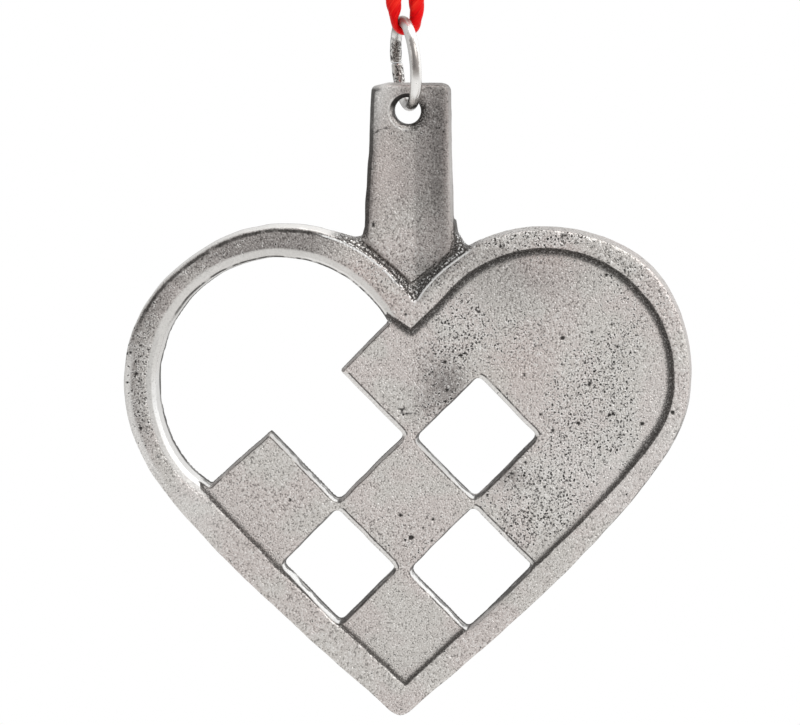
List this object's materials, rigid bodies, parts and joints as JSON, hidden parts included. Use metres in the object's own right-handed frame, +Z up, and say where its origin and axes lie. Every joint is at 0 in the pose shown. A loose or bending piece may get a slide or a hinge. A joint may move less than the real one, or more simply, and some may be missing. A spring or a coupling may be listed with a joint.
{
  "type": "woven heart ornament",
  "caption": "Flat cast pewter heart with a raised border and a woven lattice of square openings, hung by a tab, a wire ring and a thin cord loop.",
  "frame": {"origin": "top of the cord loop, just under its knot, where a hook or twig holds it", "axes": "+Z up, the ornament hangs down -Z; its face towards -Y, its flat back towards +Y, +X to the right seen from the front"},
  "size_m": [0.05, 0.008, 0.1206],
  "materials": {
    "pewter": "antiqued cast pewter: light warm grey, sandy, dark in the grooves and pits, polished on the edges",
    "ring_wire": "bright silver-coloured wire",
    "cord": "red satin cord with a soft sheen"
  },
  "bodies": {
    "root": {"heart_casting": "pewter", "jump_ring": "ring_wire", "hanging_cord": "cord", "cord_knot": "cord"}
  },
  "joints": []
}
